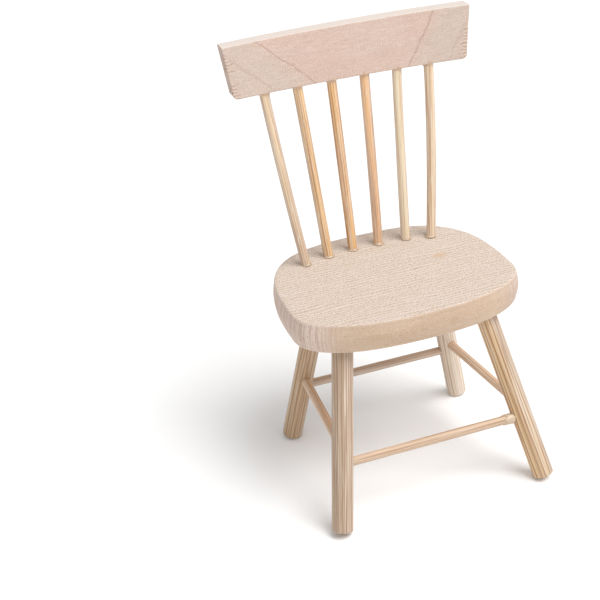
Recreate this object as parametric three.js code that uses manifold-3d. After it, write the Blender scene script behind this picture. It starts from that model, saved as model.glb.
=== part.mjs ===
// A doll's-house side chair at one-twelfth scale. A thick wooden seat board stands on four
// splayed dowel legs tied by four thin stretchers, and six fanned sticks carry a bowed crest rail.
// Every stick is a plain dowel glued into blind holes, so the chair has sixteen pieces and none moves.
// Millimetres, +Z up. The sitter faces -Y. Right is +X, as seen by someone facing the chair.

import * as THREE from "three";
import { mergeVertices } from "three/addons/utils/BufferGeometryUtils.js";
import Module from "manifold-3d";

// Seat board: two half superellipses that meet at the widest line.
const SEAT_TOP = 39.65;
const SEAT_THICKNESS = 5.75;
const SEAT_HALF_WIDTH = 23;
const SEAT_WIDEST_Y = -4.25;
const SEAT_FRONT_REACH = 10.6;
const SEAT_BACK_REACH = 24.5;
const SEAT_FRONT_FULLNESS = 2.3;
const SEAT_BACK_FULLNESS = 3;
const SEAT_EASED_EDGE = 0.3;
const SEAT_OUTLINE_POINTS = 80;

// Crest rail: a bowed strip that leans back and is longer along its top edge.
const RAIL_BOTTOM = 74.1;
const RAIL_HEIGHT = 10.2;
const RAIL_HALF_LENGTH_TOP = 25.3;
const RAIL_HALF_LENGTH_BOTTOM = 24;
const RAIL_THICKNESS = 2.85;
const RAIL_FRONT_Y = 19.25;
const RAIL_LEAN = 1.5;
const RAIL_BOW = 1.25;
const RAIL_CORNER_RADIUS = 0.8;
const RAIL_BOW_STEPS = 16;

// Back sticks: fanned from an arc in the seat to the middle of the rail's underside.
const STICK_COUNT = 6;
const STICK_DIAMETER = 1.9;
const STICK_FOOT_SPACING = 5.5;
const STICK_TOP_SPACING = 6.8;
const STICK_FOOT_Y = 14.8;
const STICK_FOOT_BOW = 1.9;
const STICK_DEPTH_IN_SEAT = 3;
const STICK_DEPTH_IN_RAIL = 4;

// Legs: square-cut dowels, given by the centre of the foot and the point under the seat.
const LEG_DIAMETER = 4.1;
const LEG_DEPTH_IN_SEAT = 3.2;
const FOOT_SETTLING_PASSES = 5;
const FRONT_FOOT = { x: 21.4, y: -21.75 };
const FRONT_LEG_TOP = { x: 14.55, y: -8.4 };
const REAR_FOOT = { x: 19.15, y: 12.85 };
const REAR_LEG_TOP = { x: 12.4, y: 9.3 };

// Stretchers: thinner dowels, the side pair set above the front and rear ones.
const STRETCHER_DIAMETER = 1.75;
const STRETCHER_END_SHORT_OF_AXIS = 0.35;
const CROSS_STRETCHER_HEIGHT = 12.6;
const SIDE_STRETCHER_FRONT_HEIGHT = 15.2;
const SIDE_STRETCHER_REAR_HEIGHT = 14.75;

// Glue space round each dowel and beyond its end.
const GLUE_GAP = 0.1;
const END_GAP = 0.25;
const LEG_SIDES = 24;
const STICK_SIDES = 16;

const UP = new THREE.Vector3(0, 0, 1);
const wasm = await Module();
wasm.setup();

function wood(color, roughness) {
  return new THREE.MeshStandardMaterial({ color, roughness, metalness: 0 });
}

const boardWood = wood(0xe4d4c3, 0.75);
const railWood = wood(0xdec8b9, 0.75);
const legWood = wood(0xdcbf99, 0.65);
const paleStickWood = wood(0xe2c9a2, 0.6);
const warmStickWood = wood(0xd8b083, 0.6);

function solidFrom(geometry) {
  const bare = geometry.clone();
  bare.deleteAttribute("normal");
  bare.deleteAttribute("uv");
  const merged = mergeVertices(bare);
  const mesh = new wasm.Mesh({
    numProp: 3,
    vertProperties: merged.attributes.position.array,
    triVerts: Uint32Array.from(merged.index.array),
  });
  return new wasm.Manifold(mesh);
}

function geometryFrom(solid) {
  const { vertProperties, triVerts } = solid.getMesh();
  const geometry = new THREE.BufferGeometry();
  geometry.setAttribute("position", new THREE.BufferAttribute(vertProperties, 3));
  geometry.setIndex(new THREE.BufferAttribute(triVerts, 1));
  return geometry;
}

// A dowel is its two end points, its diameter and its number of flats. One corner of its
// section points the way the dowel leans, so a leaning leg stands on a corner of its rim.
function dowelGeometry({ from, to, diameter, sides }, extraRadius = 0, extraLength = 0) {
  const radius = diameter / 2 + extraRadius;
  const length = from.distanceTo(to) + 2 * extraLength;
  const geometry = new THREE.CylinderGeometry(radius, radius, length, sides);
  geometry.rotateX(Math.PI / 2);
  geometry.rotateZ(Math.PI / 2 + Math.atan2(to.y - from.y, to.x - from.x));
  return geometry;
}

function aimDowel(object, { from, to }) {
  object.position.lerpVectors(from, to, 0.5);
  object.quaternion.setFromUnitVectors(UP, to.clone().sub(from).normalize());
  object.updateMatrix();
}

function dowelMesh(name, dowel, material) {
  const mesh = new THREE.Mesh(dowelGeometry(dowel), material);
  mesh.name = name;
  aimDowel(mesh, dowel);
  return mesh;
}

// Drills the hole that takes a dowel: the dowel's own shape, larger by the glue space.
function drill(mesh, dowel) {
  const tool = new THREE.Object3D();
  aimDowel(tool, dowel);
  const bit = dowelGeometry(dowel, GLUE_GAP, END_GAP);
  bit.applyMatrix4(tool.matrix);
  bit.applyMatrix4(mesh.matrix.clone().invert());
  mesh.geometry = geometryFrom(solidFrom(mesh.geometry).subtract(solidFrom(bit)));
}

function pointBeyond(from, to, distance) {
  return to.clone().add(to.clone().sub(from).normalize().multiplyScalar(distance));
}

function seatOutline() {
  const points = [];
  for (let i = 0; i < SEAT_OUTLINE_POINTS; i += 1) {
    const angle = (2 * Math.PI * i) / SEAT_OUTLINE_POINTS;
    const atBack = Math.sin(angle) >= 0;
    const reach = atBack ? SEAT_BACK_REACH : SEAT_FRONT_REACH;
    const fullness = atBack ? SEAT_BACK_FULLNESS : SEAT_FRONT_FULLNESS;
    const across = Math.abs(Math.cos(angle) / SEAT_HALF_WIDTH) ** fullness;
    const along = Math.abs(Math.sin(angle) / reach) ** fullness;
    const radius = (across + along) ** (-1 / fullness);
    points.push(new THREE.Vector2(radius * Math.cos(angle), radius * Math.sin(angle)));
  }
  return new THREE.Shape(points);
}

function makeSeat() {
  const geometry = new THREE.ExtrudeGeometry(seatOutline(), {
    depth: SEAT_THICKNESS - 2 * SEAT_EASED_EDGE,
    bevelThickness: SEAT_EASED_EDGE,
    bevelSize: SEAT_EASED_EDGE,
    bevelOffset: -SEAT_EASED_EDGE,
    bevelSegments: 2,
  });
  const seat = new THREE.Mesh(geometry, boardWood);
  seat.name = "seat";
  seat.position.set(0, SEAT_WIDEST_Y, SEAT_TOP - SEAT_THICKNESS + SEAT_EASED_EDGE);
  seat.updateMatrix();
  return seat;
}

// How far the rail's middle stands behind its ends, at a distance x from the middle.
function railBowAt(x) {
  return RAIL_BOW * (1 - (x / RAIL_HALF_LENGTH_TOP) ** 2);
}

// The strip is drawn in plan as a bowed band, raised to the rail's height and leaned back.
function bowedStrip() {
  const front = [];
  const back = [];
  for (let i = 0; i <= RAIL_BOW_STEPS; i += 1) {
    const x = RAIL_HALF_LENGTH_TOP * ((2 * i) / RAIL_BOW_STEPS - 1);
    front.push(new THREE.Vector2(x, railBowAt(x) - RAIL_BOW));
    back.unshift(new THREE.Vector2(x, railBowAt(x) - RAIL_BOW + RAIL_THICKNESS));
  }
  const band = new THREE.Shape([...front, ...back]);
  const strip = new THREE.ExtrudeGeometry(band, { depth: RAIL_HEIGHT, bevelEnabled: false });
  const lean = new THREE.Matrix4().makeShear(0, 0, 0, 0, 0, RAIL_LEAN / RAIL_HEIGHT);
  return strip.applyMatrix4(lean);
}

// The front view that the strip is trimmed to: ends that slope in, lower corners rounded.
function railFrontView() {
  const r = RAIL_CORNER_RADIUS;
  const slope = (RAIL_HALF_LENGTH_TOP - RAIL_HALF_LENGTH_BOTTOM) / RAIL_HEIGHT;
  const low = RAIL_HALF_LENGTH_BOTTOM;
  const view = new THREE.Shape();
  view.moveTo(-RAIL_HALF_LENGTH_TOP, RAIL_HEIGHT);
  view.lineTo(-low - slope * r, r);
  view.quadraticCurveTo(-low, 0, -low + r, 0);
  view.lineTo(low - r, 0);
  view.quadraticCurveTo(low, 0, low + slope * r, r);
  view.lineTo(RAIL_HALF_LENGTH_TOP, RAIL_HEIGHT);
  const depth = RAIL_BOW + RAIL_THICKNESS + RAIL_LEAN;
  const trim = new THREE.ExtrudeGeometry(view, {
    depth: 2 * depth,
    bevelEnabled: false,
    curveSegments: 4,
  });
  trim.rotateX(Math.PI / 2);
  trim.translate(0, depth + RAIL_THICKNESS, 0);
  return trim;
}

function makeCrestRail() {
  const shaped = solidFrom(bowedStrip()).intersect(solidFrom(railFrontView()));
  const rail = new THREE.Mesh(geometryFrom(shaped), railWood);
  rail.name = "crest_rail";
  rail.position.set(0, RAIL_FRONT_Y, RAIL_BOTTOM);
  rail.updateMatrix();
  return rail;
}

function makeSticks(seat, rail) {
  const sticks = [];
  const outermost = (STICK_COUNT - 1) / 2;
  for (let i = 0; i < STICK_COUNT; i += 1) {
    const place = i - outermost;
    const footX = place * STICK_FOOT_SPACING;
    const footY = STICK_FOOT_Y - STICK_FOOT_BOW * (place / outermost) ** 2;
    const topX = place * STICK_TOP_SPACING;
    const topY = RAIL_FRONT_Y + RAIL_THICKNESS / 2 + railBowAt(topX) - RAIL_BOW;
    const foot = new THREE.Vector3(footX, footY, SEAT_TOP);
    const top = new THREE.Vector3(topX, topY, RAIL_BOTTOM);
    const dowel = {
      from: pointBeyond(top, foot, STICK_DEPTH_IN_SEAT),
      to: pointBeyond(foot, top, STICK_DEPTH_IN_RAIL),
      diameter: STICK_DIAMETER,
      sides: STICK_SIDES,
    };
    const isWarm = i > 0 && i < 4;
    drill(seat, dowel);
    drill(rail, dowel);
    sticks.push(dowelMesh(`spindle_${i + 1}`, dowel, isWarm ? warmStickWood : paleStickWood));
  }
  return sticks;
}

// A leg stands on the lowest corner of its square-cut foot, so the foot's centre is lifted
// by the radius times the sine of the leg's lean.
function makeLeg(name, side, foot, top, seat) {
  const head = new THREE.Vector3(side * top.x, top.y, SEAT_TOP - SEAT_THICKNESS);
  const toe = new THREE.Vector3(side * foot.x, foot.y, 0);
  for (let pass = 0; pass < FOOT_SETTLING_PASSES; pass += 1) {
    const lean = head.clone().sub(toe).angleTo(UP);
    toe.z = (LEG_DIAMETER / 2) * Math.sin(lean);
  }
  const dowel = {
    from: toe,
    to: pointBeyond(toe, head, LEG_DEPTH_IN_SEAT),
    diameter: LEG_DIAMETER,
    sides: LEG_SIDES,
  };
  drill(seat, dowel);
  return { mesh: dowelMesh(name, dowel, legWood), toe, head };
}

function pointOnLeg({ toe, head }, height) {
  return toe.clone().lerp(head, (height - toe.z) / (head.z - toe.z));
}

function makeStretcher(name, legA, heightA, legB, heightB, material) {
  const a = pointOnLeg(legA, heightA);
  const b = pointOnLeg(legB, heightB);
  const dowel = {
    from: pointBeyond(b, a, -STRETCHER_END_SHORT_OF_AXIS),
    to: pointBeyond(a, b, -STRETCHER_END_SHORT_OF_AXIS),
    diameter: STRETCHER_DIAMETER,
    sides: STICK_SIDES,
  };
  drill(legA.mesh, dowel);
  drill(legB.mesh, dowel);
  return dowelMesh(name, dowel, material);
}

const seat = makeSeat();
const crestRail = makeCrestRail();
const sticks = makeSticks(seat, crestRail);

const frontLeft = makeLeg("leg_front_left", -1, FRONT_FOOT, FRONT_LEG_TOP, seat);
const frontRight = makeLeg("leg_front_right", 1, FRONT_FOOT, FRONT_LEG_TOP, seat);
const rearLeft = makeLeg("leg_rear_left", -1, REAR_FOOT, REAR_LEG_TOP, seat);
const rearRight = makeLeg("leg_rear_right", 1, REAR_FOOT, REAR_LEG_TOP, seat);
const legs = [frontLeft, frontRight, rearLeft, rearRight];

const cross = CROSS_STRETCHER_HEIGHT;
const sideFront = SIDE_STRETCHER_FRONT_HEIGHT;
const sideRear = SIDE_STRETCHER_REAR_HEIGHT;
const stretchers = [
  makeStretcher("stretcher_front", frontLeft, cross, frontRight, cross, paleStickWood),
  makeStretcher("stretcher_rear", rearLeft, cross, rearRight, cross, paleStickWood),
  makeStretcher("stretcher_left", frontLeft, sideFront, rearLeft, sideRear, warmStickWood),
  makeStretcher("stretcher_right", frontRight, sideFront, rearRight, sideRear, warmStickWood),
];

const chair = new THREE.Group();
chair.name = "doll_house_chair";
chair.add(seat, crestRail, ...sticks, ...legs.map((leg) => leg.mesh), ...stretchers);

export default chair;
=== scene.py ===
import math

import bpy
import numpy as np
from mathutils import Matrix, Quaternion, Vector, geometry, noise


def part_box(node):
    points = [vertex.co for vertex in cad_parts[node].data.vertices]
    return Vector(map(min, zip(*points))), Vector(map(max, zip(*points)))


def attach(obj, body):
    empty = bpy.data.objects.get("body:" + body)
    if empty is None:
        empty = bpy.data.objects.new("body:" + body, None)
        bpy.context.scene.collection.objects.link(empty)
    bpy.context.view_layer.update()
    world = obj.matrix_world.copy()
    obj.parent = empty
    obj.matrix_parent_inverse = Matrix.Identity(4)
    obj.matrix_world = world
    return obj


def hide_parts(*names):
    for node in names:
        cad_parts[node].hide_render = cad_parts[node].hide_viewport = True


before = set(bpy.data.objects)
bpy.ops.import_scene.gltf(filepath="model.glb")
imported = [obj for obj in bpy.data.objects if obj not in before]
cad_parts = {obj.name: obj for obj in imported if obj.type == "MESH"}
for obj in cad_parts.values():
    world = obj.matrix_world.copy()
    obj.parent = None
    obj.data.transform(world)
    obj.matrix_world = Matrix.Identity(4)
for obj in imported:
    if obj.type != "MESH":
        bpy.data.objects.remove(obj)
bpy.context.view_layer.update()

MM = 0.001


# --- The viewpoint -------------------------------------------------------------------------
# A long lens looks down on the chair from its left front corner. The camera is rolled a
# little, and the chair stands to the right of the middle of the frame.
LENS_MM = 80.97
VIEW_DISTANCE = 250.95 * MM
VIEW_AIM = Vector((-20.69, -3.5, 41.79)) * MM
view_azimuth, view_elevation, view_roll = (math.radians(a) for a in (-18.075, 29.692, -4.04))

camera_data = bpy.data.cameras.new("camera")
camera_data.sensor_width = 36
camera_data.lens = LENS_MM
camera_data.clip_start = 10 * MM
camera_data.clip_end = 60
camera = bpy.data.objects.new("camera", camera_data)
bpy.context.scene.collection.objects.link(camera)
bpy.context.scene.camera = camera

towards_camera = Vector((
    math.sin(view_azimuth) * math.cos(view_elevation),
    -math.cos(view_azimuth) * math.cos(view_elevation),
    math.sin(view_elevation),
))
camera.location = VIEW_AIM + towards_camera * VIEW_DISTANCE
camera.rotation_mode = "QUATERNION"
camera.rotation_quaternion = (
    (-towards_camera).to_track_quat("-Z", "Y") @ Quaternion((0, 0, 1), view_roll)
)


# --- The studio ----------------------------------------------------------------------------
# A plain white table top under soft light: one wide panel overhead to the right front, a
# weaker one at the left front, and a pale room all round.
FLOOR_HALF_SIZE = 20
FLOOR_ALBEDO = 0.93
FLOOR_ROUGHNESS = 0.8
ROOM_BRIGHTNESS = 0.6
STUDIO_BRIGHTNESS = 1.3

floor_mesh = bpy.data.meshes.new("floor")
floor_corners = ((-1, -1), (1, -1), (1, 1), (-1, 1))
floor_mesh.from_pydata(
    [(x * FLOOR_HALF_SIZE, y * FLOOR_HALF_SIZE, 0) for x, y in floor_corners], [], [(0, 1, 2, 3)]
)
floor = bpy.data.objects.new("floor", floor_mesh)
bpy.context.scene.collection.objects.link(floor)
floor_paint = bpy.data.materials.new("floor_paint")
floor_paint.use_nodes = True
floor_shader = floor_paint.node_tree.nodes["Principled BSDF"]
floor_shader.inputs["Base Color"].default_value = (FLOOR_ALBEDO,) * 3 + (1,)
floor_shader.inputs["Roughness"].default_value = FLOOR_ROUGHNESS
floor_mesh.materials.append(floor_paint)

room = bpy.data.worlds.new("room")
room.use_nodes = True
room_light = room.node_tree.nodes["Background"]
room_light.inputs["Color"].default_value = (1, 1, 1, 1)
room_light.inputs["Strength"].default_value = ROOM_BRIGHTNESS
bpy.context.scene.world = room
bpy.context.scene.view_settings.view_transform = "Standard"


def soft_panel(name, place, aim, size, watts):
    """A square area light of that size at place, facing aim."""
    data = bpy.data.lights.new(name, "AREA")
    data.size = size
    data.energy = watts
    light = bpy.data.objects.new(name, data)
    bpy.context.scene.collection.objects.link(light)
    light.location = place
    light.rotation_mode = "QUATERNION"
    light.rotation_quaternion = (Vector(aim) - Vector(place)).to_track_quat("-Z", "Y")


CHAIR_MIDDLE = (0, 0, 0.04)
soft_panel("overhead_panel", (0.45, -0.42, 1.1), CHAIR_MIDDLE, size=0.9, watts=15.0)
soft_panel("front_panel", (-0.7, -1.2, 0.6), CHAIR_MIDDLE, size=0.9, watts=1.6)


# --- The seat board ------------------------------------------------------------------------
# A rounded board sawn from pale close-grained hardwood with the grain running from side to
# side, sanded flat on top and just eased along its edges, with blind holes drilled for the
# spindles and the legs. The sawn end grain shows as fine upright lines at both sides.
class Wire:
    """A value in a material's node tree; arithmetic with it adds Math nodes to the tree."""

    def __init__(self, finish, socket):
        self.finish = finish
        self.socket = socket

    def __add__(self, other):
        return self.finish.maths("ADD", self, other)

    def __radd__(self, other):
        return self.finish.maths("ADD", other, self)

    def __sub__(self, other):
        return self.finish.maths("SUBTRACT", self, other)

    def __rsub__(self, other):
        return self.finish.maths("SUBTRACT", other, self)

    def __mul__(self, other):
        return self.finish.maths("MULTIPLY", self, other)

    def __rmul__(self, other):
        return self.finish.maths("MULTIPLY", other, self)

    def __pow__(self, other):
        return self.finish.maths("POWER", self, other)

    def __abs__(self):
        return self.finish.maths("ABSOLUTE", self)


class Finish:
    """A material in the making: its node tree, its shader, and the ways to add nodes to it."""

    def __init__(self, name):
        self.material = bpy.data.materials.new(name)
        self.material.use_nodes = True
        self.tree = self.material.node_tree
        self.shader = self.tree.nodes["Principled BSDF"]
        self.place = self.add("ShaderNodeTexCoord", output="Object")

    def add(self, kind, settings=(), inputs=(), output=0):
        """Adds a node, sets it up, feeds its sockets and gives one of its outputs."""
        node = self.tree.nodes.new(kind)
        for key, value in dict(settings).items():
            setattr(node, key, value)
        for key, value in dict(inputs).items():
            self.feed(node.inputs[key], value)
        return Wire(self, node.outputs[output])

    def feed(self, socket, value):
        """Links a wire to a socket, or sets the socket to a plain value."""
        if isinstance(value, Wire):
            self.tree.links.new(value.socket, socket)
        else:
            socket.default_value = value

    def maths(self, operation, *values):
        """One Math node; its values are wires or numbers."""
        return self.add("ShaderNodeMath", {"operation": operation}, dict(enumerate(values)))

    def moved(self, x, y, z, place=None):
        """The piece's own coordinates, or another vector, with an offset added."""
        return self.add(
            "ShaderNodeVectorMath", {"operation": "ADD"}, {0: place or self.place, 1: (x, y, z)}
        )

    def stretched(self, x, y, z, place=None):
        """The piece's own coordinates, or another vector, each multiplied by a number."""
        return self.add(
            "ShaderNodeVectorMath", {"operation": "MULTIPLY"}, {0: place or self.place, 1: (x, y, z)}
        )

    def noise(self, x, y, z, detail=2, roughness=0.5, place=None):
        """Noise whose lumps are about 1/x by 1/y by 1/z metres; it stays close to 0.5."""
        return self.add(
            "ShaderNodeTexNoise",
            {"noise_dimensions": "3D"},
            {"Vector": self.stretched(x, y, z, place), "Scale": 1, "Detail": detail,
             "Roughness": roughness},
        )

    def step(self, value, low, high):
        """A smooth step from 0 to 1 as value goes from low to high."""
        return self.add(
            "ShaderNodeMapRange",
            {"interpolation_type": "SMOOTHSTEP"},
            {"Value": value, "From Min": low, "From Max": high, "To Min": 0, "To Max": 1},
        )

    def blend(self, share, first, second):
        """Two colours mixed by share: 0 gives the first and 1 the second."""
        return self.add(
            "ShaderNodeMix",
            {"data_type": "RGBA"},
            {0: share, 6: first, 7: second},
            output=2,
        )

    def axis(self, letter, place=None):
        """One coordinate of the piece's own frame, in metres, or of another vector."""
        return self.add("ShaderNodeSeparateXYZ", (), {0: place or self.place}, output=letter)

    def fuzz(self, amount):
        """Raw sanded fibres catch the light at the edges of a round stick."""
        self.shader.inputs["Sheen Weight"].default_value = amount
        self.shader.inputs["Sheen Roughness"].default_value = 0.4

    def dress(self, colour, roughness, height, depth, specular=0.3):
        """Feeds the shader: colour, roughness, and a bump of that depth in metres."""
        bump = self.add(
            "ShaderNodeBump", (), {"Strength": 1, "Distance": depth, "Height": height}
        )
        self.feed(self.shader.inputs["Base Color"], colour)
        self.feed(self.shader.inputs["Roughness"], roughness)
        self.feed(self.shader.inputs["Normal"], bump)
        self.shader.inputs["Specular IOR Level"].default_value = specular
        return self.material


def paint(red, green, blue):
    """A colour as it shows in this studio, 0 to 255, turned into the surface's own colour."""
    shares = (value / 255 for value in (red, green, blue))
    light = (s / 12.92 if s <= 0.04045 else ((s + 0.055) / 1.055) ** 2.4 for s in shares)
    return (*(value / STUDIO_BRIGHTNESS for value in light), 1)


def piece_from(name, vertices, faces, material, slot, *nodes, place=Matrix.Identity(4)):
    """Makes a smooth-shaded piece that stands for CAD nodes and rides with the chair."""
    mesh = bpy.data.meshes.new(name)
    mesh.from_pydata(vertices, [], faces)
    mesh.validate()
    mesh.shade_smooth()
    mesh.materials.append(material)
    piece = bpy.data.objects.new(name, mesh)
    bpy.context.scene.collection.objects.link(piece)
    piece.matrix_world = place
    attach(piece, "root")
    if nodes:
        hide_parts(*nodes)
    return piece


def ring_faces(rings, around, closed=False):
    """Quads between rings of vertices that each have the same number around."""
    faces = []
    for ring in range(rings if closed else rings - 1):
        a, b = ring * around, (ring + 1) % rings * around
        for i in range(around):
            j = (i + 1) % around
            faces.append((a + i, a + j, b + j, b + i))
    return faces


def ends_of(node):
    """The centres of a CAD dowel's two ends, the lower or left one first."""
    points = np.unique(
        np.round([v.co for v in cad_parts[node].data.vertices], 7), axis=0
    )
    axis = np.linalg.svd(points - points.mean(axis=0))[2][0]
    for _ in range(2):
        reach = points @ axis
        low = points[reach < reach.min() + 0.3 * MM].mean(axis=0)
        high = points[reach > reach.max() - 0.3 * MM].mean(axis=0)
        axis = (high - low) / np.linalg.norm(high - low)
    first, second = sorted((Vector(low), Vector(high)), key=lambda p: (round(p.z, 4), p.x))
    return first, second


HOLE_SPARE = 0.05 * MM
HOLE_BEYOND_END = 0.25 * MM
HOLE_RIM_ANGLE = math.radians(40)


def drill(piece, holes, around=40):
    """Cuts blind round holes: each is (end of its stick, a point outside, stick diameter)."""
    vertices, faces = [], []
    for end, outside, diameter in holes:
        along = (outside - end).normalized()
        side = along.orthogonal().normalized()
        other = along.cross(side)
        first = len(vertices)
        for centre in (end - along * HOLE_BEYOND_END, outside):
            for i in range(around):
                angle = 2 * math.pi * i / around
                spoke = side * math.cos(angle) + other * math.sin(angle)
                vertices.append(centre + spoke * (diameter / 2 + HOLE_SPARE))
        wall = ring_faces(2, around)
        faces.extend(tuple(first + i for i in face) for face in wall)
        faces.append(tuple(first + i for i in reversed(range(around))))
        faces.append(tuple(first + around + i for i in range(around)))
    mesh = bpy.data.meshes.new("drill_bits")
    mesh.from_pydata(vertices, [], faces)
    bits = bpy.data.objects.new("drill_bits", mesh)
    bpy.context.scene.collection.objects.link(bits)
    cut = piece.modifiers.new("holes", "BOOLEAN")
    cut.operation = "DIFFERENCE"
    cut.solver = "EXACT"
    cut.object = bits
    bpy.context.view_layer.update()
    drilled = bpy.data.meshes.new_from_object(
        piece.evaluated_get(bpy.context.evaluated_depsgraph_get())
    )
    piece.modifiers.clear()
    piece.data = drilled
    drilled.set_sharp_from_angle(angle=HOLE_RIM_ANGLE)
    bpy.data.objects.remove(bits)


# How far each spindle strays from its mark, in mm towards +X, at its foot and at its top.
SPINDLE_STRAYS = {
    1: (0.29, -0.23),
    2: (-0.04, -0.26),
    3: (-0.1, 0),
    4: (-0.03, 0.03),
    5: (0.3, 0.07),
    6: (-0.27, -0.31),
}
SPINDLE_DIAMETER = 1.9 * MM
LEG_DIAMETER = 4.1 * MM
STRETCHER_DIAMETER = 1.75 * MM
LEG_CORNERS = ("front_left", "front_right", "rear_left", "rear_right")


def spindle_ends(number):
    """A spindle's foot and top: the CAD's, moved by how far the real one strays."""
    foot, top = ends_of(f"spindle_{number}")
    foot_stray, top_stray = SPINDLE_STRAYS[number]
    return foot + Vector((foot_stray * MM, 0, 0)), top + Vector((top_stray * MM, 0, 0))


SEAT_FRONT_FULLNESS = 2.3
SEAT_BACK_FULLNESS = 3
SEAT_WIDEST_SHARE = 0.302
SEAT_AROUND = 360
SEAT_FACE_STEPS = 20
SEAT_EDGE_STEPS = 6
SEAT_SIDE_STEPS = 14
SEAT_EASED = 0.3 * MM
SEAT_EASED_DROP = 0.85 * MM
SEAT_BULGE = 0.32 * MM
SAW_MARK_WIDTH = 0.9 * MM
SAW_MARK_DEPTH = 0.012 * MM
SANDING_LENGTH = 8 * MM
FACE_WAVE_DEPTH = 0.02 * MM

seat_low, seat_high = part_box("seat")
seat_half_width = (seat_high.x - seat_low.x) / 2
seat_widest_y = seat_low.y + SEAT_WIDEST_SHARE * (seat_high.y - seat_low.y)


def seat_reach(angle):
    """Distance from the middle of the widest line to the seat's outline, at that angle."""
    at_back = math.sin(angle) >= 0
    reach = seat_high.y - seat_widest_y if at_back else seat_widest_y - seat_low.y
    fullness = SEAT_BACK_FULLNESS if at_back else SEAT_FRONT_FULLNESS
    across = abs(math.cos(angle) / seat_half_width) ** fullness
    along = abs(math.sin(angle) / reach) ** fullness
    return (across + along) ** (-1 / fullness)


def seat_rings():
    """The rings of the board, each (share of the outline, inset, height), from top to bottom."""
    face = [(k / SEAT_FACE_STEPS, 0, seat_high.z) for k in range(1, SEAT_FACE_STEPS)]
    edge = []
    for k in range(SEAT_EDGE_STEPS + 1):
        turn = math.pi / 2 * k / SEAT_EDGE_STEPS
        inset = SEAT_EASED * (1 - math.sin(turn))
        edge.append((1, inset, seat_high.z - SEAT_EASED_DROP * (1 - math.cos(turn))))
    top, bottom = seat_high.z - SEAT_EASED_DROP, seat_low.z + SEAT_EASED_DROP
    side = []
    for k in range(1, SEAT_SIDE_STEPS):
        part = k / SEAT_SIDE_STEPS
        side.append((1, -4 * SEAT_BULGE * part * (1 - part), top + (bottom - top) * part))
    upper = face + edge
    lower = [(share, inset, seat_low.z + seat_high.z - z) for share, inset, z in reversed(upper)]
    return upper + side + lower


def seat_board():
    """The board's closed mesh: rings of the outline, with a middle point on each face."""
    vertices = []
    rings = seat_rings()
    for share, inset, height in rings:
        for i in range(SEAT_AROUND):
            angle = 2 * math.pi * i / SEAT_AROUND
            c, s = math.cos(angle), math.sin(angle)
            outline = seat_reach(angle)
            rim = Vector((c * outline, s * outline, 0))
            sawn = noise.noise((rim + Vector((0, 0, 0.04 * height))) / SAW_MARK_WIDTH)
            sanded = 1 + 0.5 * noise.noise(rim / SANDING_LENGTH)
            reach = outline * share - inset * sanded
            if share == 1:
                reach += SAW_MARK_DEPTH * sawn
            x, y = reach * c, seat_widest_y + reach * s
            lift = FACE_WAVE_DEPTH * noise.noise(Vector((x / 9, y / 2.5, 0.4 * MM)) / MM)
            vertices.append((x, y, height + (lift if share < 1 else 0)))
    faces = ring_faces(len(rings), SEAT_AROUND)
    vertices.append((0, seat_widest_y, seat_high.z))
    vertices.append((0, seat_widest_y, seat_low.z))
    top, bottom = len(vertices) - 2, len(vertices) - 1
    last = (len(rings) - 1) * SEAT_AROUND
    for i in range(SEAT_AROUND):
        j = (i + 1) % SEAT_AROUND
        faces.append((j, i, top))
        faces.append((last + i, last + j, bottom))
    return vertices, [face[::-1] for face in faces]


SEAT_FACE_TONES = paint(225, 205, 186), paint(230, 212, 196)
SEAT_ROSY = paint(230, 206, 186)
SEAT_DARK_ROWS, SEAT_PALE_ROWS = paint(200, 174, 154), paint(248, 238, 228)
SEAT_DARK_TICKS, SEAT_PALE_TICKS = paint(190, 162, 142), paint(250, 242, 234)
SEAT_DASHES = paint(196, 166, 142)
SEAT_GLINTS = paint(253, 246, 238)
SEAT_EDGE_TONES = paint(213, 184, 158), paint(222, 196, 171)
SEAT_EDGE_DASHES = paint(186, 152, 122)
SEAT_EDGE_GLINTS = paint(240, 220, 198)
SEAT_EDGE_SAWN = paint(196, 164, 136)
END_GRAIN_TONES = paint(247, 225, 211), paint(212, 184, 168)
END_GRAIN_PORES = paint(186, 156, 140)
END_GRAIN_DULL = paint(192, 168, 150)
SEAT_STAIN = paint(222, 186, 150)
SEAT_STAIN_PLACE = Vector((11.8 * MM, 4.7 * MM, seat_high.z))
# The colour of the painted highlight along the seat's rounded rim.
SEAT_EDGE_HIGHLIGHT = paint(246, 226, 214)
ROW_SPACING = 0.84 * MM
SEAT_GRAIN_DEPTH = 0.05 * MM


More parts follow.
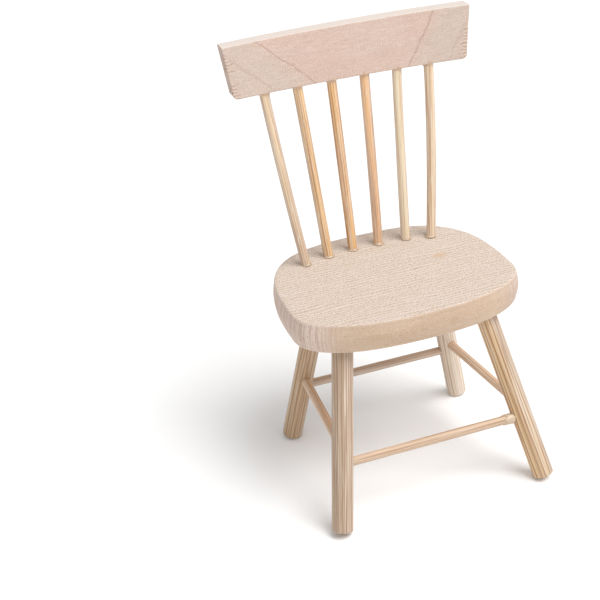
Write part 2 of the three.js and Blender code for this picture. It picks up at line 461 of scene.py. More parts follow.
def seat_wood():
    """Pores in rows along the face, calmer grain along the edge, upright lines at the ends, and a
    painted highlight along the rounded rim.
    """
    finish = Finish("seat_wood")
    normal = finish.add("ShaderNodeTexCoord", output="Normal")
    facing_up = abs(finish.axis("Z", normal))
    facing_side = abs(finish.axis("X", normal))
    side = finish.step(facing_up, 0.8, 0.4)
    end_grain = side * finish.step(facing_side, 0.25, 0.75)
    rounded_edge = finish.step(facing_up, 0.1, 0.45) * finish.step(facing_up, 0.995, 0.8)

    drift = finish.noise(70, 260, 260, detail=2)
    broken = finish.noise(3000, 4300, 4300, detail=1)
    row_place = finish.axis("Y") * (2 * math.pi / ROW_SPACING) + drift * 18
    row_wave = finish.maths("SINE", row_place)
    rows = finish.step(row_wave * 0.2 + broken, 0.32, 0.72)
    dashes = finish.noise(2600, 6500, 6500, detail=1)
    ticks = finish.noise(5200, 3000, 3000, detail=0)
    grit = finish.noise(6000, 5000, 5000, detail=0)
    bands = finish.noise(60, 420, 420, detail=3)
    clouds = finish.noise(90, 140, 140, detail=2)
    dark_ticks = finish.step(ticks, 0.5, 0.64) * (0.35 + 0.65 * rows)
    glints = finish.step(grit, 0.44, 0.26)
    face = finish.blend(finish.step(bands, 0.35, 0.65), *SEAT_FACE_TONES)
    face = finish.blend(finish.step(clouds, 0.35, 0.75) * 0.35, face, SEAT_ROSY)
    face = finish.blend(finish.step(rows, 0.45, 0.95) * 0.38, face, SEAT_DARK_ROWS)
    face = finish.blend(finish.step(rows, 0.45, 0.05) * 0.3, face, SEAT_PALE_ROWS)
    face = finish.blend(dark_ticks * 0.8, face, SEAT_DARK_TICKS)
    face = finish.blend(finish.step(ticks, 0.46, 0.32) * 0.45, face, SEAT_PALE_TICKS)
    face = finish.blend(finish.step(dashes, 0.56, 0.72) * 0.3, face, SEAT_DASHES)
    face = finish.blend(glints * 0.45, face, SEAT_GLINTS)

    stain_place = finish.moved(*-SEAT_STAIN_PLACE)
    stain_reach = finish.add(
        "ShaderNodeVectorMath", {"operation": "LENGTH"},
        {0: finish.stretched(520, 760, 300, stain_place)}, output="Value",
    )
    stain = finish.step(stain_reach + 0.6 * clouds, 1.4, 0.8)
    face = finish.blend(stain * 0.45, face, SEAT_STAIN)

    sawn = finish.noise(260, 260, 2600, detail=2)
    edge = finish.blend(finish.step(bands, 0.3, 0.7), *SEAT_EDGE_TONES)
    edge = finish.blend(finish.step(dashes, 0.5, 0.7) * 0.45, edge, SEAT_EDGE_DASHES)
    edge = finish.blend(glints * 0.4, edge, SEAT_EDGE_GLINTS)
    edge = finish.blend(finish.step(sawn, 0.5, 0.65) * 0.2, edge, SEAT_EDGE_SAWN)

    around = finish.maths("ARCTAN2", finish.axis("Y") - seat_widest_y, finish.axis("X"))
    along_edge = finish.add(
        "ShaderNodeCombineXYZ", (), {0: around * seat_half_width, 2: finish.axis("Z")}
    )
    upright = finish.noise(5600, 1, 90, detail=2, place=along_edge)
    pores = finish.noise(2600, 1, 1500, detail=2, place=along_edge)
    right_end = finish.step(finish.axis("X"), 0, seat_half_width)
    ends = finish.blend(finish.step(upright, 0.38, 0.64), *END_GRAIN_TONES)
    ends = finish.blend(finish.step(pores, 0.52, 0.7) * 0.35, ends, END_GRAIN_PORES)
    ends = finish.blend(right_end * 0.4, ends, END_GRAIN_DULL)
    edge = finish.blend(end_grain, edge, ends)

    colour = finish.blend(side, face, edge)
    # Painted highlight: the rounded rim, more so at the end grain, is lightened as if light caught
    # it.
    colour = finish.blend(rounded_edge * (0.2 + 0.25 * end_grain), colour, SEAT_EDGE_HIGHLIGHT)
    height = (1 - rows) * 0.5 + finish.step(dashes, 0.72, 0.56) * 0.5 - end_grain * upright * 0.6
    return finish.dress(colour, 0.62 + 0.12 * rows, height, SEAT_GRAIN_DEPTH)


SPINDLE_HOLE_REACH = 5 * MM
LEG_HOLE_REACH = 6 * MM
seat_vertices, seat_faces = seat_board()
seat = piece_from(
    "seat_board", seat_vertices, seat_faces, seat_wood(), "seat_board", "seat"
)
seat_holes = []
for number in range(1, 7):
    foot, top = spindle_ends(number)
    outside = foot + (top - foot).normalized() * SPINDLE_HOLE_REACH
    seat_holes.append((foot, outside, SPINDLE_DIAMETER))
for corner in LEG_CORNERS:
    foot, head = ends_of("leg_" + corner)
    outside = head + (foot - head).normalized() * LEG_HOLE_REACH
    seat_holes.append((head, outside, LEG_DIAMETER))
drill(seat, seat_holes)


# --- The legs ------------------------------------------------------------------------------
# Four lengths of 4 mm hardwood dowel, cut square, glued into blind holes under the seat and
# splayed outwards. The wood is coarse and straight grained, so dark lines run down it.
def stick_place(start, end):
    """Where a stick lies: its Z along the stick and its X towards the chair's front."""
    along = (end - start).normalized()
    front = Vector((0, -1, 0)) if abs(along.y) < 0.8 else Vector((0, 0, 1))
    side = along.cross(front).normalized()
    front = side.cross(along)
    turned = Matrix((front, side, along)).transposed().to_4x4()
    return Matrix.Translation(start) @ turned


STICK_RING_SPACING = 0.6 * MM
STICK_RIM_STEPS = 4
STICK_UNEVENNESS = 0.02 * MM


def stick_shape(length, diameter, around, groove, eased, bow=0, seed=0.0):
    """A round stick from the origin up Z: lengthwise grooves, eased ends, bowed towards Y."""
    radius = diameter / 2
    end_rings = [(0, 0.35), (0, 0.7)]
    for k in range(STICK_RIM_STEPS + 1):
        turn = math.pi / 2 * k / STICK_RIM_STEPS
        share = 1 - eased / radius * (1 - math.sin(turn))
        end_rings.append((eased * (1 - math.cos(turn)), share))
    steps = round(length / STICK_RING_SPACING)
    rings = list(end_rings)
    rings += [(eased + (length - 2 * eased) * k / steps, 1) for k in range(1, steps)]
    rings += [(length - z, share) for z, share in reversed(end_rings)]
    vertices = []
    for z, share in rings:
        bend = 4 * bow * (z / length) * (1 - z / length)
        for i in range(around):
            angle = 2 * math.pi * i / around
            c, s = math.cos(angle), math.sin(angle)
            coarse = noise.noise(Vector((c * 4.5, s * 4.5, z / (16 * MM) + seed)))
            fine = noise.noise(Vector((c * 11, s * 11, z / (11 * MM) + seed + 5)))
            uneven = noise.noise(Vector((c * 0.9, s * 0.9, z / (18 * MM) + seed + 9)))
            relief = groove * (coarse + 0.7 * fine) + STICK_UNEVENNESS * uneven
            r = share * (radius + relief)
            vertices.append((r * c, r * s + bend, z))
    faces = ring_faces(len(rings), around)
    last = (len(rings) - 1) * around
    faces.append(tuple(range(around))[::-1])
    faces.append(tuple(last + i for i in range(around)))
    return vertices, faces


DOWEL_PALE_FIBRES = paint(250, 236, 218)
DOWEL_FLECKS = paint(150, 108, 72)
DOWEL_CUT_END = paint(182, 150, 118)
BOLD_LINE_SHADE = 0.9
DOWEL_GRAIN_DEPTH = 0.045 * MM


def dowel_wood(name, seed, pale, warm, line, line_spacing=0.52 * MM, contrast=1.0):
    """Dowel wood: growth lines cross the dowel side by side and run its whole length. On the legs,
    the pale side is partly a painted highlight.
    """
    finish = Finish(name)
    placed = finish.moved(0, 0, seed)
    normal = finish.add("ShaderNodeTexCoord", output="Normal")
    across = finish.axis("Y", placed) * 0.95 + finish.axis("X", placed) * 0.3
    drift = finish.noise(500, 500, 30, detail=2, place=placed)
    wave_place = across * (2 * math.pi / line_spacing) + drift * 11 + seed * 9
    wave = finish.maths("SINE", wave_place)
    strength = finish.noise(1100, 1100, 22, detail=1, place=placed)
    fibres = finish.noise(5200, 5200, 80, detail=2, place=placed)
    broad = finish.noise(600, 600, 10, detail=1, place=placed) - 0.5
    flecks = finish.noise(3200, 3200, 500, detail=1, place=placed)
    # On the legs the pale side faces right, towards the light; its pale grey is partly the wood's
    # own tone and partly a painted highlight.
    warm_side = finish.step(across * (1 / MM) + broad * 7, 1.3, -0.6)
    bold_place = across * (3.7 / line_spacing) + drift * 7 + seed * 23
    bold_wave = finish.maths("SINE", bold_place)
    lines = finish.step(wave, 0.2, 0.9) * finish.step(strength, 0.25, 0.55)
    bold = finish.step(bold_wave, 0.66, 0.95) * (0.35 + 0.65 * warm_side)
    dark_fibres = finish.step(fibres, 0.52, 0.7) * (0.55 * contrast)
    pale_fibres = finish.step(fibres, 0.46, 0.3) * (0.6 * contrast)
    cut_end = finish.step(abs(finish.axis("Z", normal)), 0.7, 0.9)
    bold_line = paint(*(BOLD_LINE_SHADE * value for value in line))
    colour = finish.blend(warm_side, paint(*pale), paint(*warm))
    colour = finish.blend(lines * (0.7 * contrast), colour, paint(*line))
    colour = finish.blend(bold * (0.75 * contrast), colour, bold_line)
    colour = finish.blend(dark_fibres, colour, paint(*line))
    colour = finish.blend(pale_fibres, colour, DOWEL_PALE_FIBRES)
    colour = finish.blend(finish.step(flecks, 0.68, 0.8) * 0.3, colour, DOWEL_FLECKS)
    colour = finish.blend(cut_end * 0.4, colour, DOWEL_CUT_END)
    height = 1 - bold * 0.5 - lines * 0.3 - fibres * 0.2
    finish.fuzz(0.25)
    return finish.dress(colour, 0.5 + 0.16 * fibres, height, DOWEL_GRAIN_DEPTH, specular=0.45)


def off_axis(point, start, end):
    """How far a point is from the line through start and end."""
    nearest, _ = geometry.intersect_point_line(point, start, end)
    return (point - nearest).length


LEG_AROUND = 80
LEG_EASED = 0.4 * MM
LEG_GROOVE = 0.028 * MM
# The colours of each leg: its pale side, its warm side and its growth lines. Each pale side lies to
# the right and is partly a painted highlight; the front left leg's colours are darkened with painted
# shade, and the rear right leg's are lightened nearly to white with painted light.
LEG_WOOD_AND_LIGHT = {
    # Painted shade: the front left leg's colours are darker than its wood.
    "front_left": ((208, 184, 163), (200, 172, 146), (160, 124, 94)),
    "front_right": ((214, 196, 176), (240, 204, 158), (158, 100, 54)),
    "rear_left": ((222, 198, 170), (216, 184, 148), (172, 132, 96)),
    # Painted light: the rear right leg's colours are lightened nearly to white.
    "rear_right": ((250, 234, 216), (245, 225, 203), (216, 187, 160)),
}
for number, corner in enumerate(LEG_CORNERS):
    foot, head = ends_of("leg_" + corner)
    # An eased rim would hold a leaning leg off the table, so the dowel is that much longer.
    along = (head - foot).normalized()
    lift = LEG_EASED * (along.z + math.sqrt(1 - along.z ** 2) - 1)
    foot -= along * (lift / along.z)
    seed = 0.31 * (number + 1)
    vertices, faces = stick_shape(
        (head - foot).length, LEG_DIAMETER, LEG_AROUND, LEG_GROOVE, LEG_EASED, seed=seed * 40
    )
    leg = piece_from(
        f"leg_dowel_{corner}", vertices, faces,
        dowel_wood(f"leg_wood_{corner}", seed, *LEG_WOOD_AND_LIGHT[corner]),
        "leg_dowel", "leg_" + corner, place=stick_place(foot, head),
    )
    leg_holes = []
    for side in ("front", "rear", "left", "right"):
        if side in corner:
            stretcher_ends = ends_of("stretcher_" + side)
            inside, far = sorted(stretcher_ends, key=lambda end: off_axis(end, foot, head))
            outside = inside + (far - inside).normalized() * LEG_DIAMETER
            leg_holes.append((inside, outside, STRETCHER_DIAMETER))
    drill(leg, leg_holes)


# --- The stretchers ------------------------------------------------------------------------
# Four thin round sticks glued into holes drilled in the legs: a pair at the sides, and a
# lower pair across the front and the back.
STRETCHER_AROUND = 40
STRETCHER_GROOVE = 0.018 * MM
STRETCHER_EASED = 0.12 * MM
PALE_STRETCHER = ("pale_stick", (230, 208, 190), (226, 196, 168), (176, 132, 94))
WARM_STRETCHER = ("warm_stick", (244, 218, 192), (238, 192, 150), (204, 150, 106))
STRETCHERS = {
    "front": PALE_STRETCHER,
    "rear": PALE_STRETCHER,
    "left": WARM_STRETCHER,
    "right": WARM_STRETCHER,
}
for number, (side, (slot, *colours)) in enumerate(STRETCHERS.items()):
    start, end = ends_of("stretcher_" + side)
    seed = 2.17 + 0.29 * number
    vertices, faces = stick_shape(
        (end - start).length, STRETCHER_DIAMETER, STRETCHER_AROUND, STRETCHER_GROOVE,
        STRETCHER_EASED, seed=seed * 40,
    )
    wood = dowel_wood(
        f"stretcher_wood_{side}", seed, *colours, line_spacing=0.5 * MM, contrast=0.8
    )
    piece_from(
        f"stretcher_stick_{side}", vertices, faces, wood,
        slot, "stretcher_" + side, place=stick_place(start, end),
    )


# --- The back spindles ---------------------------------------------------------------------
# Six thin round sticks of split bamboo, from straw to orange in colour, glued into a curved
# row of holes in the seat and fanned out to the crest rail. No two are quite alike.
SPINDLE_AROUND = 40
SPINDLE_GROOVE = 0.02 * MM
SPINDLE_EASED = 0.12 * MM
# A record slot, then the colours of the stick's flanks, its streak and its fibre lines. The flank
# colour is greyer than the streak and is partly painted shade.
STRAW = ("pale_stick", (226, 203, 184), (250, 222, 186), (190, 150, 114))
IVORY = ("pale_stick", (242, 222, 200), (252, 234, 200), (194, 152, 112))
BLOSSOM = ("pale_stick", (241, 219, 192), (252, 228, 192), (196, 144, 104))
AMBER = ("warm_stick", (232, 206, 180), (250, 210, 160), (180, 126, 82))
RUST = ("warm_stick", (234, 206, 182), (252, 202, 150), (178, 116, 72))
EMBER = ("warm_stick", (244, 208, 172), (255, 206, 142), (182, 120, 72))
# Each spindle's kind, how far it bows in mm, and the side its streak faces, in degrees. Each streak
# is turned towards the camera, so the stick's edges seen from there keep the greyer flank colour as
# painted shade.
SPINDLES = {
    1: (STRAW, -0.25, -20),
    2: (AMBER, 0, 0),
    3: (EMBER, 0.04, -20),
    4: (RUST, 0.1, -30),
    5: (IVORY, -0.1, -15),
    6: (BLOSSOM, 0.5, -5),
}
CANE_LINES = 0.5 * MM
CANE_PALE_FIBRES = paint(252, 240, 220)
CANE_GLINTS = paint(255, 250, 240)
CANE_FLECKS = paint(158, 112, 74)
CANE_GRAIN_DEPTH = 0.035 * MM


def cane(name, seed, pale, core, line, streak_angle):
    """Split bamboo: pale, with one warmer streak down it and fine fibres all along. The greyer
    flanks beside the streak are partly painted shade.
    """
    finish = Finish(name)
    placed = finish.moved(0, 0, seed)
    angle = math.radians(streak_angle)
    x, y = finish.axis("X", placed), finish.axis("Y", placed)
    towards = x * math.cos(angle) + y * math.sin(angle)
    across = y * math.cos(angle) - x * math.sin(angle)
    broad = finish.noise(900, 900, 25, detail=2, place=placed)
    fibres = finish.noise(6500, 6500, 110, detail=2, place=placed)
    threads = finish.noise(4200, 4200, 40, detail=1, place=placed)
    glints = finish.noise(4200, 4200, 300, detail=1, place=placed)
    flecks = finish.noise(3600, 3600, 420, detail=1, place=placed)
    straying = (broad - 0.5) * 2.2
    # Painted shade: the streak is aimed at the camera, and the flanks beside it, the stick's edges
    # as seen from there, keep the greyer colour; the warm streak itself is the cane's own colour.
    streak = finish.step(towards * (2 / SPINDLE_DIAMETER) + straying, 0.5, 1)
    back_straying = (broad - 0.5) * 2.4
    back_streak = finish.step(towards * (-2 / SPINDLE_DIAMETER) + back_straying, 0.3, 1)
    line_place = across * (2 * math.pi / CANE_LINES) + broad * 9 + seed * 9
    line_wave = finish.maths("SINE", line_place)
    lines = finish.step(line_wave, 0.2, 0.9) * finish.step(threads, 0.4, 0.52)
    colour = finish.blend(streak + back_streak * 0.7, paint(*pale), paint(*core))
    colour = finish.blend(lines * 0.65, colour, paint(*line))
    colour = finish.blend(finish.step(threads, 0.54, 0.64) * 0.5, colour, paint(*line))
    colour = finish.blend(finish.step(fibres, 0.54, 0.7) * 0.4, colour, paint(*line))
    colour = finish.blend(finish.step(fibres, 0.46, 0.32) * 0.5, colour, CANE_PALE_FIBRES)
    colour = finish.blend(finish.step(glints, 0.62, 0.75) * 0.45, colour, CANE_GLINTS)
    colour = finish.blend(finish.step(flecks, 0.7, 0.8) * 0.35, colour, CANE_FLECKS)
    height = 1 - fibres * 0.5 - threads * 0.5
    finish.fuzz(0.12)
    return finish.dress(colour, 0.45 + 0.16 * fibres, height, CANE_GRAIN_DEPTH, specular=0.4)


for number, ((slot, *colours), bow, streak_angle) in SPINDLES.items():
    foot, top = spindle_ends(number)
    seed = 4.4 + 0.37 * number
    vertices, faces = stick_shape(
        (top - foot).length, SPINDLE_DIAMETER, SPINDLE_AROUND, SPINDLE_GROOVE, SPINDLE_EASED,
        bow=bow * MM, seed=seed * 40,
    )
    piece_from(
        f"spindle_stick_{number}", vertices, faces,
        cane(f"spindle_wood_{number}", seed, *colours, streak_angle),
        slot, f"spindle_{number}", place=stick_place(foot, top),
    )


# --- The crest rail ------------------------------------------------------------------------
# A bowed strip band-sawn from a pinkish board, its ends cut at a slant and its lower corners
# rounded, with six blind holes under it for the spindles. The growth rings cross its face in a
# wide cup, and the saw has left small chatter marks along both ends.
RAIL_HALF_TOP = 25.3 * MM
RAIL_HALF_BOTTOM = 24 * MM
RAIL_OFF_CENTRE = 0.3 * MM
RAIL_TAPER = 0.2 * MM
RAIL_THICKNESS = 2.85 * MM
RAIL_BOW = 1.25 * MM
RAIL_LEAN = 1.5 * MM
RAIL_CORNER = 0.8 * MM
RAIL_EASED = 0.2 * MM
RAIL_STATIONS = 220
RAIL_EDGE_STEPS = 4
CHATTER_SPACING = 0.66 * MM
CHATTER_REACH = 0.7 * MM
CHATTER_DEPTH = 0.07 * MM
TORN_EDGE_WIDTH = 0.5 * MM
TORN_EDGE_DEPTH = 0.07 * MM
SAWN_UNEVENNESS = 0.015 * MM
rail_low, rail_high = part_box("crest_rail")
rail_height = rail_high.z - rail_low.z
rail_front_y = rail_high.y - RAIL_THICKNESS - RAIL_LEAN


def rail_half_length(height):
    """Half the rail's length at a height above its lower edge, rounded in at the bottom."""
    half = RAIL_HALF_BOTTOM + (RAIL_HALF_TOP - RAIL_HALF_BOTTOM) * height / rail_height
    if height < RAIL_CORNER:
        half -= RAIL_CORNER - math.sqrt(RAIL_CORNER ** 2 - (RAIL_CORNER - height) ** 2)
    return half


def rail_section():
    """Points round the rail's section as (depth behind the front, height), front face first."""
    back, top = RAIL_THICKNESS - RAIL_EASED, rail_height - RAIL_EASED
    # Each corner's middle, the angle its rounding starts at, and the steps to the next one.
    corners = (
        (Vector((RAIL_EASED, RAIL_EASED)), 270, 66),
        (Vector((RAIL_EASED, top)), 180, 18),
        (Vector((back, top)), 90, 66),
        (Vector((back, RAIL_EASED)), 0, 18),
    )

    def on_corner(middle, degrees):
        angle = math.radians(degrees)
        return middle + RAIL_EASED * Vector((math.cos(angle), math.sin(angle)))

    points = []
    for index, (middle, start, steps) in enumerate(corners):
        for k in range(RAIL_EDGE_STEPS + 1):
            points.append(on_corner(middle, start - 90 * k / RAIL_EDGE_STEPS))
        next_middle, next_start, _ = corners[(index + 1) % len(corners)]
        last, target = points[-1], on_corner(next_middle, next_start)
        points += [last.lerp(target, k / steps) for k in range(1, steps)]
    return points


def edge_distance(depth, height):
    """How far a point of the section is from the nearest of its four corners."""
    from_side = min(depth, RAIL_THICKNESS - depth)
    return max(from_side, min(height, rail_height - height))


def rail_rows():
    """Where the section is repeated: (side, -1 left to 1 right; its share; how far inward)."""
    end_rows = [(0.15 + 0.2 * k, 0) for k in range(5)]
    for k in range(1, RAIL_EDGE_STEPS + 1):
        turn = math.pi / 2 * k / RAIL_EDGE_STEPS
        end_rows.append((1, RAIL_EASED * (1 - math.cos(turn))))
    rows = [(-1, share, inward) for share, inward in end_rows]
    rows += [(-1 + 2 * k / RAIL_STATIONS, 1, RAIL_EASED) for k in range(1, RAIL_STATIONS)]
    rows += [(1, share, inward) for share, inward in reversed(end_rows)]
    return rows


def rail_board():
    """The rail's closed mesh, with saw chatter at its ends and slightly torn long edges."""
    section = rail_section()
    middle_depth, middle_height = RAIL_THICKNESS / 2, rail_height / 2
    rows = rail_rows()
    vertices = []
    for side, share, inward in rows:
        rounding = RAIL_EASED - math.sqrt(RAIL_EASED ** 2 - (RAIL_EASED - inward) ** 2)
        for depth, height in section:
            shrink_depth = share * (1 - rounding / middle_depth)
            shrink_height = share * (1 - rounding / middle_height)
            d = middle_depth + (depth - middle_depth) * shrink_depth
            h = middle_height + (height - middle_height) * shrink_height
            half = rail_half_length(max(h, 0)) - (inward if abs(side) == 1 else 0)
            x = side * half + RAIL_OFF_CENTRE
            from_end = half - abs(x - RAIL_OFF_CENTRE)
            near_end = math.exp(-((from_end / CHATTER_REACH) ** 2))
            wobble = 2.2 * noise.noise(Vector((side * 9, 0, h / (2.4 * MM))))
            patch = 0.55 + 0.9 * noise.noise(Vector((side * 5, 4, h / (2.6 * MM))))
            chatter = patch * near_end * math.sin(2 * math.pi * h / CHATTER_SPACING + wobble)
            x -= math.copysign(CHATTER_DEPTH * chatter, x)
            y = rail_front_y + d + RAIL_LEAN * h / rail_height
            y -= RAIL_BOW * (x / RAIL_HALF_TOP) ** 2
            in_front = depth < middle_depth
            if in_front:
                y += 0.06 * MM * max(0, chatter)
            y += SAWN_UNEVENNESS * noise.noise(Vector((x / 4, d / 3, h / 2)) / MM)
            at_edge = max(0, 1 - edge_distance(depth, height) / TORN_EDGE_WIDTH)
            chip = 0.5 * noise.noise(Vector((x / 0.5, d * 2, h * 2)) / MM)
            chip += 0.5 * noise.noise(Vector((x / 1.7, d, h)) / MM)
            y += TORN_EDGE_DEPTH * at_edge * chip * (1 if in_front else -1)
            deeper = RAIL_TAPER * x / RAIL_HALF_TOP * (1 - h / rail_height)
            chipped = 0.05 * MM * at_edge * abs(chip)
            vertices.append((x, y, rail_low.z + h - deeper - chipped))
    around = len(section)
    faces = ring_faces(len(rows), around)
    last = (len(rows) - 1) * around
    faces.append(tuple(range(around))[::-1])
    faces.append(tuple(last + i for i in range(around)))
    return vertices, faces


# The growth rings, by how far in mm each lies from the pith, as it crosses the rail's face.
RING_CENTRE_X = 2.75
CUP_RING = 9.8
OUTER_RING = 18
HEART_EDGE = (13.5, 8.5)
SAWN_SPACING = 0.5
RAIL_OUTER_WOOD, RAIL_HEART = paint(217, 196, 181), paint(224, 194, 178)
RAIL_BLUSH = paint(224, 201, 187)
CUP_LINE, OUTER_LINE = paint(180, 147, 130), paint(188, 158, 142)
RAIL_DARK_GRAIN, RAIL_PALE_GRAIN = paint(200, 172, 158), paint(238, 220, 210)
RAIL_DARK_GRIT, RAIL_PALE_GRIT = paint(186, 158, 144), paint(250, 238, 230)
RAIL_SAWN = paint(188, 160, 146)
# The colour of the painted highlight on the rail's upward faces.
RAIL_TOP_HIGHLIGHT = paint(241, 231, 223)
CHATTER_DARK, CHATTER_PALE = paint(158, 120, 98), paint(246, 214, 190)
RAIL_GRAIN_DEPTH = 0.04 * MM


def rail_wood():
    """Fine rosy wood with two growth lines in a cup, saw marks, chatter at both ends, and a painted
    highlight on the faces turned upwards.
    """
    finish = Finish("rail_wood")
    x = finish.axis("X") * 1000
    height = (finish.axis("Z") - rail_low.z) * 1000
    wander = finish.noise(160, 160, 260, detail=3) - 0.5
    skewed = x - RING_CENTRE_X + 0.26 * height
    ring = (skewed * skewed + 9) ** 0.5 - 0.85 * height + 1.8 * wander
    cup_line = finish.step(abs(ring - CUP_RING), 0.36, 0.05)
    outer_line = finish.step(abs(ring - OUTER_RING), 0.55, 0.1)
    heart = finish.step(ring, *HEART_EDGE)

    grain = finish.noise(420, 4600, 4600, detail=2)
    grit = finish.noise(5600, 8000, 8000, detail=1)
    patches = finish.noise(130, 300, 300, detail=2)
    blush = finish.noise(80, 200, 200, detail=2)
    colour = finish.blend(heart, RAIL_OUTER_WOOD, RAIL_HEART)
    colour = finish.blend(finish.step(blush, 0.38, 0.68) * 0.5, colour, RAIL_BLUSH)
    colour = finish.blend(cup_line * 0.55, colour, CUP_LINE)
    colour = finish.blend(outer_line * 0.3, colour, OUTER_LINE)
    colour = finish.blend(finish.step(grain, 0.5, 0.72) * 0.35, colour, RAIL_DARK_GRAIN)
    colour = finish.blend(finish.step(grain, 0.47, 0.3) * 0.35, colour, RAIL_PALE_GRAIN)
    colour = finish.blend(finish.step(grit, 0.55, 0.72) * 0.45, colour, RAIL_DARK_GRIT)
    colour = finish.blend(finish.step(grit, 0.45, 0.28) * 0.5, colour, RAIL_PALE_GRIT)

    saw_wave = finish.maths("SINE", x * (2 * math.pi / SAWN_SPACING) + wander * 4)
    sawn = finish.step(saw_wave, 0.2, 0.9) * finish.step(patches, 0.46, 0.62)
    colour = finish.blend(sawn * 0.16, colour, RAIL_SAWN)

    normal = finish.add("ShaderNodeTexCoord", output="Normal")
    # Painted highlight: faces turned upwards, the rail's top above all, are lightened as light from
    # above would.
    upper_face_highlight = finish.step(finish.axis("Z", normal), 0.35, 0.9)
    colour = finish.blend(upper_face_highlight * 0.75, colour, RAIL_TOP_HIGHLIGHT)

    flare = (RAIL_HALF_TOP - RAIL_HALF_BOTTOM) / rail_height
    half_length = RAIL_HALF_BOTTOM / MM + flare * height
    from_end = half_length - abs(x - RAIL_OFF_CENTRE / MM)
    wobble = finish.noise(700, 700, 420, detail=2) * 11
    tick_place = height * (2 * math.pi / (CHATTER_SPACING / MM)) + wobble
    tick_wave = finish.maths("SINE", tick_place)
    uneven = finish.noise(900, 900, 1500, detail=1)
    torn = finish.step(from_end + 3.5 * (uneven - 0.5), 1.5, 0.5)
    left = finish.step(x, 0, -1)
    upper_left = finish.step(height, 4.6, 5.8) * finish.step(height, 9, 7.8)
    lower_left = finish.step(height, 3.8, 2.6)
    right_patch = finish.step(height, 7, 5.2)
    where = torn * (left * (upper_left + lower_left) + (1 - left) * right_patch)
    dark_ticks = where * finish.step(tick_wave, 0, 0.9)
    pale_ticks = where * finish.step(tick_wave, 0, -0.9)
    colour = finish.blend(dark_ticks * 0.5, colour, CHATTER_DARK)
    colour = finish.blend(pale_ticks * 0.45, colour, CHATTER_PALE)

    relief = 1 - 0.4 * grain - 0.3 * finish.step(grit, 0.5, 0.7) - 0.3 * sawn
    return finish.dress(colour, 0.62 + 0.1 * grain, relief, RAIL_GRAIN_DEPTH)


rail_vertices, rail_faces = rail_board()
rail = piece_from(
    "crest_rail_board", rail_vertices, rail_faces, rail_wood(), "crest_rail", "crest_rail"
)
RAIL_HOLE_REACH = 6 * MM
rail_holes = []
for number in range(1, 7):
    foot, top = spindle_ends(number)
    outside = top + (foot - top).normalized() * RAIL_HOLE_REACH
    rail_holes.append((top, outside, SPINDLE_DIAMETER))
drill(rail, rail_holes)


# --- The glue ------------------------------------------------------------------------------
# Clear glue, squeezed out of the holes and dried: a small flared fillet round each spindle
# where it meets the rail and the seat, and a thick pale collar on the front stretcher.
GLUE_AROUND = 48
GLUE_STEPS = 8
GLUE_SUNK = 0.12 * MM
GLUE_SHOULDER_START = 0.7


def glue_ring(name, place, radius, reach, height, slot, material, seed, shoulder=0.0):
    """A closed ring of glue round a stick, wide at the origin and running out up Z."""
    outline = [(-GLUE_SUNK, 0.98), (0, 1)]
    for k in range(1, GLUE_STEPS + 1):
        rise = k / GLUE_STEPS
        flare = shoulder + (1 - shoulder) * (1 - rise) ** 1.8
        if shoulder and rise > GLUE_SHOULDER_START:
            past = (rise - GLUE_SHOULDER_START) / (1 - GLUE_SHOULDER_START)
            flare = shoulder * math.sqrt(max(0, 1 - past ** 2))
        outline.append((height * rise, flare))
    inner = radius - 0.15 * MM
    rings = [[] for _ in range(len(outline) + 2)]
    for i in range(GLUE_AROUND):
        angle = 2 * math.pi * i / GLUE_AROUND
        c, s = math.cos(angle), math.sin(angle)
        lump = 1 + 0.65 * noise.noise(Vector((c * 1.4, s * 1.4, seed)))
        run = 1 + 0.5 * noise.noise(Vector((c * 1.9, s * 1.9, seed + 4)))
        rings[0].append((inner * c, inner * s, -GLUE_SUNK))
        for k, (z, share) in enumerate(outline):
            wave = 1 + 0.2 * noise.noise(Vector((c * 3, s * 3, seed + z / (0.4 * MM))))
            r = radius + reach * share * lump * wave - 0.03 * MM * (share == 0)
            rings[k + 1].append((r * c, r * s, z * (run if z > 0 else 1)))
        rings[-1].append((inner * c, inner * s, outline[-1][0] * 0.9 * run))
    vertices = [point for ring in rings for point in ring]
    faces = ring_faces(len(rings), GLUE_AROUND, closed=True)
    piece_from(name, vertices, faces, material, slot, place=place)


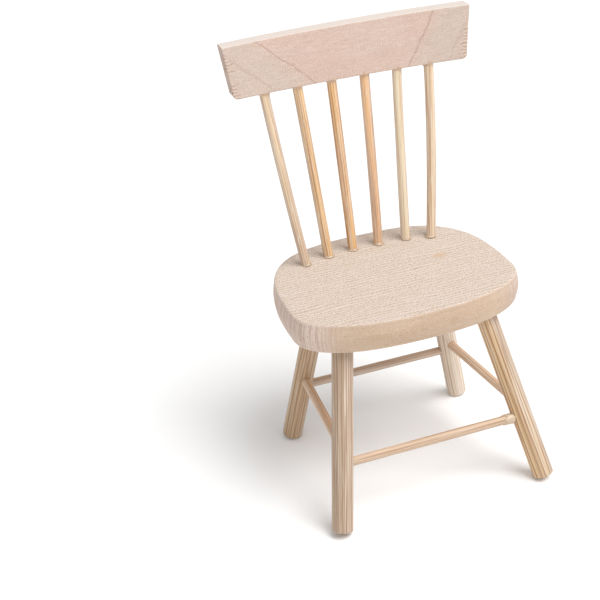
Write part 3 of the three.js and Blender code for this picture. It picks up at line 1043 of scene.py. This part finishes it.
GLUE_CLOUDS = paint(232, 214, 192)
GLUE_DIRT = paint(150, 108, 74)


def glue(name, colour, cloudiness):
    """Dried glue: shiny, cloudy in parts, with specks of dirt caught in it."""
    finish = Finish(name)
    cloudy = finish.noise(1800, 1800, 1800, detail=2)
    dirt = finish.noise(2600, 2600, 2600, detail=1)
    clouds = finish.step(cloudy, 0.35, 0.65) * cloudiness
    mixed = finish.blend(clouds, paint(*colour), GLUE_CLOUDS)
    mixed = finish.blend(finish.step(dirt, 0.6, 0.75) * 0.5, mixed, GLUE_DIRT)
    finish.shader.inputs["Coat Roughness"].default_value = 0.12
    finish.shader.inputs["Coat Weight"].default_value = 0.3
    return finish.dress(mixed, 0.3 + 0.2 * cloudy, cloudy, 0.05 * MM, specular=0.5)


rail_glue = glue("fillet_glue", (224, 188, 156), cloudiness=0.15)
seat_glue = glue("foot_glue", (206, 178, 150), cloudiness=0.3)
for number in range(1, 7):
    foot, top = spindle_ends(number)
    slot = SPINDLES[number][0][0]
    along = (top - foot).normalized()
    at_seat = foot + along * ((seat_high.z - foot.z) / along.z)
    at_rail = top + along * ((rail_low.z - top.z) / along.z)
    glue_ring(
        f"seat_glue_{number}", stick_place(at_seat, top), SPINDLE_DIAMETER / 2,
        0.26 * MM, 0.35 * MM, slot, seat_glue, 7.3 * number,
    )
    glue_ring(
        f"rail_glue_{number}", stick_place(at_rail, foot), SPINDLE_DIAMETER / 2,
        0.55 * MM, 0.75 * MM, slot, rail_glue, 5.9 * number,
    )

COLLAR_SUNK_IN_LEG = 0.35 * MM
collar_glue = glue("collar_glue", (216, 190, 160), cloudiness=0.4)
left_end, right_end = ends_of("stretcher_front")
inwards = (left_end - right_end).normalized()
at_leg = right_end + inwards * (LEG_DIAMETER / 2 - COLLAR_SUNK_IN_LEG)
glue_ring(
    "stretcher_glue", stick_place(at_leg, left_end), STRETCHER_DIAMETER / 2,
    0.22 * MM, 2.0 * MM, "pale_stick", collar_glue, 3.1, shoulder=0.8,
)
